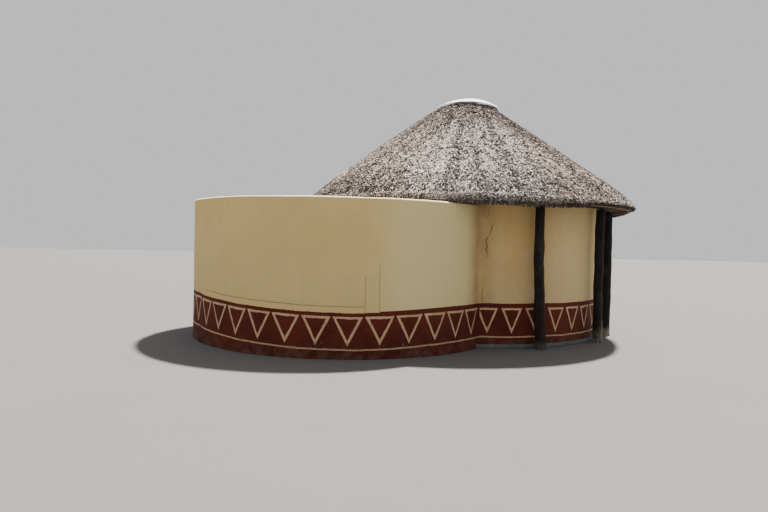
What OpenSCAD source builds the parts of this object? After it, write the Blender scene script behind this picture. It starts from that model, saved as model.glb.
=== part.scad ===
/* [Hut wall] */
// Outer radius of the round hut wall
hut_r = 2480; // [2400:10:2600]
// Thickness of the hut wall
hut_wall_t = 200; // [150:10:240]
// Gap between the top of the hut wall and the rafters above its outer face
wall_head_gap = 18; // [5:1:60]

/* [Floor] */
// Height of the floor slab above the ground
slab_h = 65; // [50:5:150]
// How far the slab stands out beyond the wall
slab_lip = 30; // [10:5:40]

/* [Doorways] */
// Clear width of the entrance
entrance_w = 850; // [700:10:1000]
// Clear height of the entrance above the floor
entrance_h = 2000; // [1850:10:2050]
// Clear width of the doorway into the court
court_door_w = 760; // [650:10:850]
// Clear height of the doorway into the court above the floor
court_door_h = 1960; // [1850:10:2050]
// Face width of the timber door frames
frame_w = 60; // [40:5:80]
// Depth of the timber door frames through the wall
frame_d = 100; // [80:5:110]
// How far the frames stand back from the edge of the wall face
frame_reveal = 20; // [10:2:30]
// Height of the sill boards above the floor
sill_h = 30; // [15:5:50]

/* [Court wall] */
// Outer radius of the round court wall
court_r = 2550; // [2490:10:2650]
// Distance from the hut centre to the court centre
court_offset = 2530; // [2470:10:2600]
// Direction of the court as an angle from the +X axis
court_azimuth = 194.3; // [190:0.1:198]
// Thickness of the court wall
court_wall_t = 200; // [150:10:220]
// Height of the court wall above the ground
court_wall_h = 2240; // [1800:5:2300]
// Radius of the rounded edges along the top of the court wall
court_top_round = 35; // [10:5:60]

/* [Roof] */
// Pitch of the roof in degrees
roof_pitch = 36; // [35:0.2:38]
// How far the lowest edge of the thatch stands out beyond the wall
eave_overhang = 590; // [540:10:620]
// Height of the lowest edge of the thatch
eave_z = 2220; // [2190:5:2260]
// Thickness of the thatch square to the slope
thatch_t = 140; // [120:5:170]
// How far the middle of the slope bellies out
thatch_belly = 30; // [0:5:50]
// How far the upper corner of the eave leans out past its lower edge
eave_lean = 50; // [30:5:70]
// Radius that rounds the upper corner of the eave
eave_round = 60; // [30:5:80]

/* [Roof cap] */
// Radius of the cap
cap_r = 575; // [520:5:620]
// How far the cap overhangs the flat top of the thatch
cap_drip = 18; // [8:2:30]
// Thickness of the cap shell
cap_t = 40; // [25:5:50]
// Height of the upright rim of the cap
cap_rim_h = 45; // [30:5:60]
// Rise of the dome of the cap above its rim
cap_rise = 150; // [130:5:200]

/* [Roof timbers] */
// Diameter of the rafters
rafter_d = 90; // [70:5:90]
// How far the rafter tails run out beyond the poles
rafter_tail = 152; // [100:4:200]
// Radius at which the short rafters end near the top
short_rafter_r = 950; // [700:10:1500]
// Radius of the block that the long rafters meet
king_r = 180; // [178:1:200]
// Height of the block that the long rafters meet
king_h = 190; // [150:5:210]
// Diameter of the laths that carry the thatch
lath_d = 30; // [20:2:40]
// Spacing of the laths along the slope
lath_step = 300; // [220:10:400]
// How far the lowest lath lies in from the edge of the thatch
lath_inset = 100; // [80:5:160]
// Diameter of the bent ring beam on top of the poles
ring_d = 110; // [90:5:120]

/* [Veranda poles] */
// Diameter of a pole at its foot
pole_foot_d = 164; // [120:2:170]
// Diameter of a pole at its top
pole_top_d = 146; // [110:2:160]
// Gap between the slab edge and the foot of a pole
pole_gap = 50; // [20:5:80]
// Gap between the court wall and the pole that stands beside it at each end
corner_gap = 40; // [20:5:80]
// How far a crooked trunk wanders to the side
pole_crook = 48; // [0:2:60]
// Angle from the middle of the entrance to the poles beside it
entrance_pole_angle = 29; // [24:0.5:33]
// Angle from the middle of the doorway into the court to the poles beside it
door_pole_angle = 16; // [14:0.5:17]
// How far the poles at the front stand off an even spacing, as an angle
front_shift = 8.2; // [-6:0.1:10]

/* [Hidden] */
$fn = 180;
// Running gap between round faces that bear on each other
seat = 0.3;
// Gap between the court wall and the roof above it
roof_gap = 0.5;
// Wall pieces between the doorways on each side, and pieces of the court wall
hut_segments = 4;
court_segments = 6;
// Long rafters round the roof
rafter_count = 12;
// Lean of each trunk at its top and bow at its middle, as shares of the crook
pole_lean = [0.5, -0.6, 0.4, -0.3, 0.5, -0.4, 0.3, -0.5, 0.4, -1.8, -0.8, 0.7];
pole_bow = [-0.3, 0.4, -0.5, 0.3, 0.3, -0.4, 0.4, 0.3, -0.3, -0.8, -1, 0.6];
pole_sides = 12;
pole_rings = 9;

// Slope of the roof as a tangent, and what a thickness square to it measures upright
slope = tan(roof_pitch);
upright = 1 / cos(roof_pitch);

// Radii on the plan
slab_r = hut_r + slab_lip;
hut_inner_r = hut_r - hut_wall_t;
pole_ring_r = slab_r + pole_gap + pole_foot_d / 2;
eave_r = hut_r + eave_overhang;
rafter_tail_r = pole_ring_r + rafter_tail;
lath_first_r = eave_r - lath_inset;
thatch_top_r = cap_r - cap_drip;

// Heights along the slope at a radius, from the thatch down to the ring beam
function under_thatch(r) = eave_z + (eave_r - r) * slope;
function lath_axis(r) = under_thatch(r) - (lath_d / 2 + seat) * upright;
function rafter_axis(r) = lath_axis(r) - (lath_d / 2 + rafter_d / 2 + seat) * upright;
function belly(r) = thatch_belly * sin(180 * (eave_r - r) / (eave_r - thatch_top_r));
function over_thatch(r) = under_thatch(r) + (thatch_t + belly(r)) * upright;
ring_z = rafter_axis(pole_ring_r) - (rafter_d / 2 + ring_d / 2 + seat) * upright;
pole_h = ring_z - ring_d / 2 - seat;
hut_wall_top = rafter_axis(hut_r) - rafter_d / 2 * upright - wall_head_gap;
thatch_top_z = over_thatch(thatch_top_r);

// Angle at the court centre at which the outer court face meets the hut wall
court_meet = acos((court_r * court_r + court_offset * court_offset - hut_r * hut_r)
    / (2 * court_r * court_offset));
court_span = (360 - 2 * court_meet) / court_segments;

// Half the angle at the hut centre between the two poles beside the ends of the court wall
court_inner_r = court_r - court_wall_t;
corner_turn = asin((pole_foot_d / 2 + corner_gap) / pole_ring_r);
court_corner = acos((pow(pole_ring_r, 2) + pow(court_offset, 2) - pow(court_inner_r, 2))
    / (2 * pole_ring_r * court_offset)) - corner_turn;

// Poles flank each doorway and each end of the court wall, with others spaced between them
back_corner = court_azimuth - court_corner;
front_corner = court_azimuth + court_corner;
back_step = (back_corner - entrance_pole_angle) / 4;
front_step = (360 - entrance_pole_angle - front_corner) / 3;
pole_azimuth = concat(
    [for (i = [0:4]) entrance_pole_angle + i * back_step],
    [180 - door_pole_angle, 180 + door_pole_angle, (180 + door_pole_angle + front_corner) / 2],
    [for (i = [0:3]) front_corner + i * front_step + front_shift * [0, 0.47, 1, 0][i]]
);

// Round slab that the hut wall stands on; its edge shows below the paint
module floor_slab() {
    color("silver") cylinder(r = slab_r, h = slab_h);
}

// Sector of an upright round wall
module ring_sector(r_in, r_out, from, span, z_low, z_high) {
    rotate([0, 0, from]) rotate_extrude(angle = span)
        translate([r_in, z_low]) square([r_out - r_in, z_high - z_low]);
}

// Rough hole of a doorway through the wall, centred on the X axis
module doorway_hole(clear_w, clear_h, side) {
    rough_w = clear_w + 2 * frame_w;
    translate([side > 0 ? 0 : -2 * hut_r, -rough_w / 2, slab_h])
        cube([2 * hut_r, rough_w, clear_h + frame_w]);
}

// Both rough holes run up through the wall top beside a separate piece over the door
module doorway_slots() {
    doorway_hole(entrance_w, hut_wall_top, 1);
    doorway_hole(court_door_w, hut_wall_top, -1);
}

// One piece of the hut wall, counted from the entrance; side is -1 at the front
module hut_wall(side, place) {
    span = 180 / hut_segments;
    from = side > 0 ? (place - 1) * span : -place * span;
    color("burlywood") difference() {
        ring_sector(hut_inner_r, hut_r, from, span, slab_h, hut_wall_top);
        doorway_slots();
    }
}

// Wall over a doorway, as wide as the rough hole
module wall_over_door(clear_w, clear_h, side) {
    rough_w = clear_w + 2 * frame_w;
    low = slab_h + clear_h + frame_w;
    color("burlywood") intersection() {
        ring_sector(hut_inner_r, hut_r, side > 0 ? -30 : 150, 60, low, hut_wall_top);
        translate([-2 * hut_r, -rough_w / 2, low]) cube([4 * hut_r, rough_w, hut_wall_top]);
    }
}

// Distance of the outer face of a door frame from the hut centre
function frame_face(clear_w) = sqrt(pow(hut_r, 2) - pow(clear_w / 2 + frame_w, 2)) - frame_reveal;

// Box of frame timber at a doorway, from y_low to y_high and z_low to z_high
module frame_timber(clear_w, side, y_low, y_high, z_low, z_high) {
    face = frame_face(clear_w);
    translate([side > 0 ? face - frame_d : -face, y_low, z_low])
        cube([frame_d, y_high - y_low, z_high - z_low]);
}

// Both upright timbers of a door frame
module door_jambs(clear_w, clear_h, side) {
    half = clear_w / 2;
    color("saddlebrown") {
        frame_timber(clear_w, side, -half - frame_w, -half, slab_h, slab_h + clear_h);
        frame_timber(clear_w, side, half, half + frame_w, slab_h, slab_h + clear_h);
    }
}

// Head timber across both jambs
module door_head(clear_w, clear_h, side) {
    outer = clear_w / 2 + frame_w;
    low = slab_h + clear_h;
    color("saddlebrown") frame_timber(clear_w, side, -outer, outer, low, low + frame_w);
}

// Sill board between the jambs
module door_sill(clear_w, side) {
    half = clear_w / 2;
    color("saddlebrown") frame_timber(clear_w, side, -half, half, slab_h, slab_h + sill_h);
}

// Cross-section of the court wall with both top edges rounded
module court_profile() {
    round_r = court_top_round;
    translate([court_r - court_wall_t, 0]) {
        square([court_wall_t, court_wall_h - round_r]);
        translate([round_r, 0]) square([court_wall_t - 2 * round_r, court_wall_h]);
        for (x = [round_r, court_wall_t - round_r])
            translate([x, court_wall_h - round_r]) circle(r = round_r, $fn = 48);
    }
}

// Space that the laths, the ring beam and the eave need above the court wall
module roof_space() {
    low = min(lath_axis(lath_first_r) - lath_d / 2, pole_h) - roof_gap;
    corner_r = eave_r + eave_lean + roof_gap;
    top = court_wall_h + thatch_t;
    rotate_extrude() polygon([
        [hut_inner_r, low],
        [eave_r - (low - eave_z + roof_gap) / slope, low],
        [eave_r, eave_z - roof_gap],
        [corner_r, eave_z + thatch_t / 2],
        [corner_r, top],
        [hut_inner_r, top]
    ]);
}

// One piece of the court wall, counted from the front where it meets the hut
module court_wall(place) {
    // Extra turn at both ends, which the round hut wall then cuts off
    overrun = 3;
    first = place == 1 ? overrun : 0;
    last = place == court_segments ? overrun : 0;
    from = court_azimuth + 180 - court_meet - place * court_span - last;
    color("tan") difference() {
        rotate([0, 0, court_azimuth]) translate([court_offset, 0, 0])
            rotate([0, 0, from - court_azimuth])
                rotate_extrude(angle = court_span + first + last) court_profile();
        translate([0, 0, -1]) cylinder(r = hut_r + seat, h = court_wall_h + 2);
        translate([0, 0, -1]) cylinder(r = slab_r + seat, h = slab_h + seat + 1);
        roof_space();
    }
}

// Point on the skin of a trunk, with the foot at the origin and leaning along Y
function trunk_point(place, ring, side) = let (
    t = ring / (pole_rings - 1),
    turn = 360 * side / pole_sides,
    knot = 1 + 0.02 * sin(3 * turn + 140 * ring + 50 * place) * sin(180 * t),
    r = (pole_foot_d + (pole_top_d - pole_foot_d) * t) / 2 * knot,
    sideways = pole_crook * (pole_lean[place - 1] * t + pole_bow[place - 1] * sin(180 * t))
) [r * cos(turn), sideways + r * sin(turn), pole_h * t];

// Crooked round trunk, skinned ring by ring
module trunk(place) {
    n = pole_sides;
    last = (pole_rings - 1) * n;
    polyhedron(
        points = [for (ring = [0:pole_rings - 1]) for (side = [0:n - 1]) trunk_point(place, ring, side)],
        faces = concat(
            [[for (side = [0:n - 1]) side]],
            [for (ring = [0:pole_rings - 2]) for (side = [0:n - 1]) let (
                a = ring * n + side,
                b = ring * n + (side + 1) % n
            ) [a, a + n, b + n]],
            [for (ring = [0:pole_rings - 2]) for (side = [0:n - 1]) let (
                a = ring * n + side,
                b = ring * n + (side + 1) % n
            ) [a, b + n, b]],
            [[for (side = [n - 1:-1:0]) last + side]]
        )
    );
}

// One pole of the ring that carries the roof
module pole(place) {
    color("darkslategray") rotate([0, 0, pole_azimuth[place - 1]])
        translate([pole_ring_r, 0, 0]) trunk(place);
}

// Ring of bent saplings on top of the poles
module ring_beam() {
    color("dimgray") translate([0, 0, ring_z])
        rotate_extrude() translate([pole_ring_r, 0]) circle(d = ring_d, $fn = 48);
}

// Straight rafter up the slope between two radii, along the X axis
module rafter(low_r, high_r) {
    length = (low_r - high_r) * upright;
    translate([low_r, 0, rafter_axis(low_r)]) rotate([0, roof_pitch - 90, 0])
        cylinder(d = rafter_d, h = length, $fn = 48);
}

// Rafters from the eave to the peak, cut round where they meet the king block
module long_rafters() {
    color("sienna") difference() {
        for (place = [0:rafter_count - 1])
            rotate([0, 0, 360 * (place + 0.5) / rafter_count]) rafter(rafter_tail_r, king_r / 2);
        translate([0, 0, rafter_axis(king_r) - 2 * king_h]) cylinder(r = king_r + seat, h = 4 * king_h);
    }
}

// Short rafters halfway between the long ones
module short_rafters() {
    color("sienna") for (place = [0:rafter_count - 1])
        rotate([0, 0, 360 * place / rafter_count]) rafter(rafter_tail_r, short_rafter_r);
}

// Round block at the peak that the long rafters lean on
module king_block() {
    color("peru") translate([0, 0, rafter_axis(king_r) - king_h / 2]) cylinder(r = king_r, h = king_h);
}

// Rings of thin laths laid over the rafters
module laths() {
    step = lath_step / upright;
    color("tan") for (r = [lath_first_r:-step:thatch_top_r - step / 2])
        translate([0, 0, lath_axis(r)])
            rotate_extrude() translate([r, 0]) circle(d = lath_d, $fn = 24);
}

// Half of the thick coat of thatch, a bellied cone with a rounded, leaning eave
module thatch(from) {
    corner_r = eave_r + eave_lean;
    steps = 12;
    round_steps = 4;
    shoulder_r = corner_r - eave_round;
    top_under_r = eave_r - (thatch_top_z - eave_z) / slope;
    color("rosybrown") rotate([0, 0, from]) rotate_extrude(angle = 180) polygon(concat(
        [[eave_r, eave_z]],
        [for (i = [0:round_steps]) let (turn = 90 * i / round_steps) [
            shoulder_r + eave_round * cos(turn),
            over_thatch(corner_r) - eave_round * (1 - sin(turn))
                + (corner_r - shoulder_r) * slope * i / round_steps
        ]],
        [for (i = [1:steps]) let (r = shoulder_r + (thatch_top_r - shoulder_r) * i / steps)
            [r, over_thatch(r)]],
        [[top_under_r, thatch_top_z]]
    ));
}

// Point on the dome at a share of its radius, drawn in by inset
function dome_point(share, inset) = [
    (cap_r - inset) * share,
    thatch_top_z + cap_rim_h + (cap_rise - inset) * (1 - share * share)
];

// Shallow domed cap with an upright rim that stands on the flat top of the thatch
module roof_cap() {
    steps = 10;
    color("whitesmoke") rotate_extrude() polygon(concat(
        [for (i = [0:steps]) dome_point(i / steps, 0)],
        [[cap_r, thatch_top_z], [cap_r - cap_t, thatch_top_z]],
        [for (i = [steps:-1:0]) dome_point(i / steps, cap_t)]
    ));
}

floor_slab();
hut_wall(-1, 1);  // hut_wall_front_1
hut_wall(-1, 2);  // hut_wall_front_2
hut_wall(-1, 3);  // hut_wall_front_3
hut_wall(-1, 4);  // hut_wall_front_4
hut_wall(1, 1);  // hut_wall_back_1
hut_wall(1, 2);  // hut_wall_back_2
hut_wall(1, 3);  // hut_wall_back_3
hut_wall(1, 4);  // hut_wall_back_4
wall_over_door(entrance_w, entrance_h, 1);  // wall_over_entrance
wall_over_door(court_door_w, court_door_h, -1);  // wall_over_court_door
door_jambs(entrance_w, entrance_h, 1);  // entrance_jambs
door_head(entrance_w, entrance_h, 1);  // entrance_head
door_sill(entrance_w, 1);  // entrance_sill
door_jambs(court_door_w, court_door_h, -1);  // court_door_jambs
door_head(court_door_w, court_door_h, -1);  // court_door_head
door_sill(court_door_w, -1);  // court_door_sill
court_wall(1);  // court_wall_1
court_wall(2);  // court_wall_2
court_wall(3);  // court_wall_3
court_wall(4);  // court_wall_4
court_wall(5);  // court_wall_5
court_wall(6);  // court_wall_6
pole(1);  // pole_1
pole(2);  // pole_2
pole(3);  // pole_3
pole(4);  // pole_4
pole(5);  // pole_5
pole(6);  // pole_6
pole(7);  // pole_7
pole(8);  // pole_8
pole(9);  // pole_9
pole(10);  // pole_10
pole(11);  // pole_11
pole(12);  // pole_12
ring_beam();
long_rafters();
short_rafters();
king_block();
laths();
thatch(180);  // thatch_front
thatch(0);  // thatch_back
roof_cap();
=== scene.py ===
import math

import bpy
import numpy as np
from mathutils import Matrix, Vector


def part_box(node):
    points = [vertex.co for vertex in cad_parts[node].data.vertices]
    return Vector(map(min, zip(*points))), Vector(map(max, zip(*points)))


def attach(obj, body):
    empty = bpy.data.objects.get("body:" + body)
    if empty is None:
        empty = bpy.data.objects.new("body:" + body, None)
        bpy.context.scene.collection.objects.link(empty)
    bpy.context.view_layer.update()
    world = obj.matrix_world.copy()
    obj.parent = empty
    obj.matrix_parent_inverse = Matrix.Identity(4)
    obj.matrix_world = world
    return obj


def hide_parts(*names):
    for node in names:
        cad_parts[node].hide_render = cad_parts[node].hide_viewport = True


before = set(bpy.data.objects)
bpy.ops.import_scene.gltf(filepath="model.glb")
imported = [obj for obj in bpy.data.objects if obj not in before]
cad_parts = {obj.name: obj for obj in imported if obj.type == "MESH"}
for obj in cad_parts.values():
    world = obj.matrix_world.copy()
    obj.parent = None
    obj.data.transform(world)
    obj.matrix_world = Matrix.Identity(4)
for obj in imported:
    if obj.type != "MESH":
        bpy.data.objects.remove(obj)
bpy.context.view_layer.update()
rng = np.random.default_rng(1907)
TAU = 2 * np.pi


# Sizes in metres, read from the CAD nodes where they can be

def corners(node):
    low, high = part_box(node)
    return np.array(low), np.array(high)


WALL_T, SLAB_EDGE, OVERHANG, CAP_LAP = 0.200, 0.030, 0.590, 0.018
POLE_CLEAR, POLE_R, RAFTER_TAIL = 0.050, 0.082, 0.152
LATH_DROP, RAFTER_DROP, LATH_STEP = 0.0153, 0.0603, 0.300
SLAB_R, _, SLAB_H = corners("floor_slab")[1]
HUT_R = SLAB_R - SLAB_EDGE
HUT_IN = HUT_R - WALL_T
HUT_TOP = corners("hut_wall_front_2")[1][2]
COURT_R, COURT_H = 2.550, 2.240
COURT_IN = COURT_R - WALL_T
COURT_AZ, COURT_AWAY = math.radians(194.3), 2.530
COURT_X, COURT_Y = COURT_AWAY * math.cos(COURT_AZ), COURT_AWAY * math.sin(COURT_AZ)
POLE_RING = SLAB_R + POLE_CLEAR + POLE_R
POLE_TOP = corners("pole_1")[1][2]
EAVE_R, EAVE_Z = HUT_R + OVERHANG, corners("thatch_front")[0][2]
(_, _, CAP_LOW), (CAP_R, _, CAP_TOP) = corners("roof_cap")
PITCH = math.radians(36.0)
SLOPE, UPRIGHT = math.tan(PITCH), 1 / math.cos(PITCH)
THATCH_T, BELLY, EAVE_LEAN = 0.140, 0.030, 0.050
THATCH_TOP_R = CAP_R - CAP_LAP
EAVE_TIP = EAVE_R + EAVE_LEAN
FIRST_LATH_R = EAVE_R - 0.100
# Half width and head height of the doorways at azimuth 0 and 180
DOORS = ((0.485, SLAB_H + 2.060), (0.440, SLAB_H + 2.020))


def under_thatch(r):
    return EAVE_Z + (EAVE_R - r) * SLOPE


def lath_axis(r):
    return under_thatch(r) - LATH_DROP * UPRIGHT


def rafter_axis(r):
    return lath_axis(r) - RAFTER_DROP * UPRIGHT


def over_thatch(r):
    belly = BELLY * np.sin(np.pi * (EAVE_R - r) / (EAVE_R - THATCH_TOP_R))
    return under_thatch(r) + (THATCH_T + belly) * UPRIGHT


# Smooth seeded noise on arrays of points, and small helpers

PERM = rng.permutation(256)
VALS = rng.random(256)


def lattice(i, j, k):
    return VALS[PERM[(PERM[(PERM[i & 255] + j) & 255] + k) & 255]]


def noise(x, y, z):
    xi, yi, zi = (np.floor(a).astype(int) for a in (x, y, z))
    fx, fy, fz = (f * f * (3 - 2 * f) for f in (x - xi, y - yi, z - zi))
    out = 0
    for di in (0, 1):
        for dj in (0, 1):
            for dk in (0, 1):
                w = (fx if di else 1 - fx) * (fy if dj else 1 - fy) * (fz if dk else 1 - fz)
                out = out + w * lattice(xi + di, yi + dj, zi + dk)
    return out * 2 - 1


def fbm(x, y, z, octaves=3):
    return sum(noise(x * 2 ** o + 17 * o, y * 2 ** o + 5 * o, z * 2 ** o) / 2 ** o for o in range(octaves))


def soft_step(x):
    x = np.clip(x, 0, 1)
    return x * x * (3 - 2 * x)


def plateau(x, rise, rise_over, fall, fall_over):
    """Soft rise from one place on, and soft fall from another."""
    return soft_step((x - rise) / rise_over) * (1 - soft_step((x - fall) / fall_over))


def degrees(az):
    return np.degrees(az) % 360


def between(az, other):
    """Angle between two azimuths, from 0 to pi."""
    return abs((az - other + np.pi) % TAU - np.pi)


def polar(r, az, z, aside=0.0):
    """Points at a radius, azimuth and height, moved aside along the tangent."""
    c, s = np.cos(az), np.sin(az)
    return np.stack(np.broadcast_arrays(r * c - aside * s, r * s + aside * c, z), -1)


def circle(steps):
    return np.linspace(0, TAU, steps, endpoint=False)


def unit(vectors):
    return vectors / np.linalg.norm(vectors, axis=1)[:, None]


# Meshes from arrays

def put(name, data):
    """Adds an object with this data to the scene."""
    thing = bpy.data.objects.new(name, data)
    bpy.context.scene.collection.objects.link(thing)
    return thing


class Shape:
    """Collects closed surfaces and makes one mesh object of them."""

    def __init__(self):
        self.co, self.count, self.marks = [], 0, {}
        self.quads, self.tris = [np.zeros((0, 4), int)], [np.zeros((0, 3), int)]

    def add(self, co, quads=(), tris=(), **marks):
        co = np.asarray(co, float).reshape(-1, 3)
        self.quads.append(np.asarray(quads, int).reshape(-1, 4) + self.count)
        self.tris.append(np.asarray(tris, int).reshape(-1, 3) + self.count)
        for key, value in marks.items():
            self.marks.setdefault(key, []).append(np.broadcast_to(np.ravel(value), len(co)))
        self.co.append(co)
        self.count += len(co)
        return self

    def make(self, name, material, slot, nodes=(), smooth=True):
        co, quads, tris = (np.concatenate(parts) for parts in (self.co, self.quads, self.tris))
        mesh = bpy.data.meshes.new(name)
        mesh.vertices.add(len(co))
        mesh.vertices.foreach_set("co", co.astype(np.float32).ravel())
        loops = np.concatenate([quads.ravel(), tris.ravel()])
        starts = np.concatenate([np.arange(len(quads)) * 4, len(quads) * 4 + np.arange(len(tris)) * 3])
        mesh.loops.add(len(loops))
        mesh.loops.foreach_set("vertex_index", loops.astype(np.int32))
        mesh.polygons.add(len(starts))
        mesh.polygons.foreach_set("loop_start", starts.astype(np.int32))
        mesh.polygons.foreach_set("use_smooth", np.full(len(starts), smooth))
        for key, values in self.marks.items():
            mark = mesh.attributes.new(key, "FLOAT", "POINT")
            mark.data.foreach_set("value", np.concatenate(values).astype(np.float32))
        mesh.update(calc_edges=True)
        if smooth:
            mesh.set_sharp_from_angle(angle=math.radians(55))
        mesh.materials.append(material)
        piece = put(name, mesh)
        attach(piece, "root")
        if nodes:
            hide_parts(*nodes)


def grid_quads(rows, cols, closed_cols=False, closed_rows=False):
    """Quads of a grid of vertices numbered row by row."""
    i = np.arange(rows if closed_rows else rows - 1)[:, None]
    j = np.arange(cols if closed_cols else cols - 1)
    here, above, across = i * cols, (i + 1) % rows * cols, (j + 1) % cols
    return np.stack([here + j, here + across, above + across, above + j], -1).reshape(-1, 4)


def bar_faces(rows, sides):
    """Quads of a stack of rings, and triangles that close its ends on the two points after it."""
    j, n = np.arange(sides), rows * sides
    across = (j + 1) % sides
    ends = [np.stack([np.full(sides, n), across, j], 1),
            np.stack([np.full(sides, n + 1), n - sides + j, n - sides + across], 1)]
    return grid_quads(rows, sides, True), np.concatenate(ends)


def tube(shape, path, radius, sides, closed=False, rough=0.0, grain=1.0, seed=0.0, **marks):
    """Round bar along a path, with caps or closed into a ring; rough is a share of the radius."""
    n = len(path)
    radius = np.broadcast_to(radius, n)
    ahead = unit(np.roll(path, -1, 0) - np.roll(path, 1, 0) if closed else np.gradient(path, axis=0))
    up = (0, 0, 1) if abs(ahead[:, 2]).mean() < 0.8 else (1, 0, 0)
    side = unit(np.cross(up, ahead))
    turn = circle(sides)[:, None]
    ring = side[:, None] * np.cos(turn) + np.cross(ahead, side)[:, None] * np.sin(turn)
    lump = 1 + rough * fbm(
        ring[..., 0] * 1.7 + seed, ring[..., 1] * 1.7 + path[:, None, 2] * grain,
        ring[..., 2] * 1.7 + (path[:, None, 0] + path[:, None, 1]) * grain, 3)
    co = path[:, None] + ring * (radius[:, None] * lump)[..., None]
    if closed:
        shape.add(co, grid_quads(n, sides, True, True), **marks)
    else:
        ends = [path[0] - ahead[0] * radius[0] * 0.04, path[-1] + ahead[-1] * radius[-1] * 0.04]
        shape.add(np.concatenate([co.reshape(-1, 3), ends]), *bar_faces(n, sides), **marks)


def disc(profile, cols, rough, grain, seed):
    """Surface of revolution closed on the axis at both ends, with noise along its normal."""
    profile = np.asarray(profile, float)
    a = circle(cols)
    ahead = np.gradient(profile, axis=0)
    normal = unit(np.stack([ahead[:, 1], -ahead[:, 0]], 1))
    r, z = profile[:, :1], profile[:, 1:]
    push = rough * fbm(r * np.cos(a) * grain + seed, r * np.sin(a) * grain, z * grain, 4)
    push = push * np.minimum(1, r / 0.1)
    co = polar(r + push * normal[:, :1], a, z + push * normal[:, 1:]).reshape(-1, 3)
    co = np.concatenate([co, [[0, 0, profile[0][1]], [0, 0, profile[-1][1]]]])
    return co, *bar_faces(len(profile), cols)


def arc(cr, cz, radius, start, stop, steps):
    t = np.radians(np.linspace(start, stop, steps))
    return [(cr + radius * math.cos(x), cz + radius * math.sin(x)) for x in t]


# Materials

def arithmetic(kind, swapped=False):
    def method(self, other):
        return self.look.math(kind, *((other, self) if swapped else (self, other)))
    return method


class Value:
    """Output of a shader node; arithmetic on it adds math nodes."""

    def __init__(self, look, socket):
        self.look, self.socket = look, socket

    __add__, __radd__ = arithmetic("ADD"), arithmetic("ADD", True)
    __sub__, __rsub__ = arithmetic("SUBTRACT"), arithmetic("SUBTRACT", True)
    __mul__, __rmul__ = arithmetic("MULTIPLY"), arithmetic("MULTIPLY", True)
    __truediv__ = arithmetic("DIVIDE")

    def __abs__(self):
        return self.look.math("ABSOLUTE", self)


class Look:
    """A material put together from shader nodes, coat by coat."""

    def __init__(self, name, roughness):
        self.material = bpy.data.materials.new(name)
        self.material.use_nodes = True
        self.tree = self.material.node_tree
        self.shader = self.tree.nodes["Principled BSDF"]
        self.shader.inputs["Roughness"].default_value = roughness
        self.shader.inputs["Specular IOR Level"].default_value = 0.25
        self.place = Value(self, self.new("TexCoord").outputs["Object"])
        self.color = None

    def new(self, kind, **settings):
        node = self.tree.nodes.new("ShaderNode" + kind)
        for key, value in settings.items():
            setattr(node, key, value)
        return node

    def plug(self, socket, value):
        if isinstance(value, Value):
            self.tree.links.new(value.socket, socket)
        elif isinstance(value, tuple) and socket.type == "RGBA":
            socket.default_value = (*value[:3], 1)
        else:
            socket.default_value = value

    def wire(self, node, inputs, out=0):
        """Sets or links a node's inputs, by name or number, and gives one of its outputs."""
        for key, value in inputs.items():
            self.plug(node.inputs[key], value)
        return Value(self, node.outputs[out])

    def math(self, kind, *inputs, clamp=False):
        return self.wire(self.new("Math", operation=kind, use_clamp=clamp), dict(enumerate(inputs)))

    def mark(self, name):
        return Value(self, self.new("Attribute", attribute_name=name).outputs["Fac"])

    def vector(self, kind, *inputs, out=0):
        return self.wire(self.new("VectorMath", operation=kind), dict(enumerate(inputs)), out)

    def noise(self, scale, detail=3.0, rough=0.55, stretch=None, warp=0.0, vector=None):
        where = vector or self.place
        where = self.vector("MULTIPLY", where, stretch) if stretch else where
        return self.wire(self.new("TexNoise"), dict(
            Vector=where, Scale=scale, Detail=detail, Roughness=rough, Distortion=warp), "Fac")

    def sway(self, size, *where, **how):
        """Noise about zero, with a given full swing."""
        return (self.noise(*where, **how) - 0.5) * size

    def radial(self, around, along):
        """Coordinates that run fast round the upright axis and slowly away from it."""
        flat = self.vector("MULTIPLY", self.place, (1, 1, 0))
        turned = self.vector("MULTIPLY", self.vector("NORMALIZE", flat), (around, around, 0))
        reach = self.vector("LENGTH", flat, out="Value")
        rise = self.wire(self.new("CombineXYZ"), {2: reach * along})
        return self.vector("ADD", turned, rise)

    def cells(self, scale, feature="F1"):
        node = self.new("TexVoronoi", feature=feature)
        return self.wire(node, dict(Vector=self.place, Scale=scale), "Distance")

    def ramp(self, value, low, high, to_low=0.0, to_high=1.0, smooth=True):
        node = self.new("MapRange", interpolation_type="SMOOTHSTEP" if smooth else "LINEAR")
        return self.wire(node, {
            "Value": value, "From Min": low, "From Max": high, "To Min": to_low, "To Max": to_high})

    def mix(self, share, a, b):
        return self.wire(self.new("Mix", data_type="RGBA"), {0: share, 6: a, 7: b}, 2)

    def coat(self, share, tint, factor=None):
        """Lays a tint, or a given share of its brightness, over the colour so far."""
        self.color = self.mix(share, self.color, tuple(c * factor for c in tint) if factor else tint)

    def finish(self, height=None, strength=0.6, distance=0.005, roughness=None):
        """Links the colour, the bump and the roughness, and gives the material."""
        self.plug(self.shader.inputs["Base Color"], self.color)
        if height is not None:
            sizes = dict(Strength=strength, Distance=distance, Height=height)
            self.plug(self.shader.inputs["Normal"], self.wire(self.new("Bump"), sizes))
        if roughness is not None:
            self.plug(self.shader.inputs["Roughness"], roughness)
        return self.material


UP_ONLY = (0.01, 0.01, 1)


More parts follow.
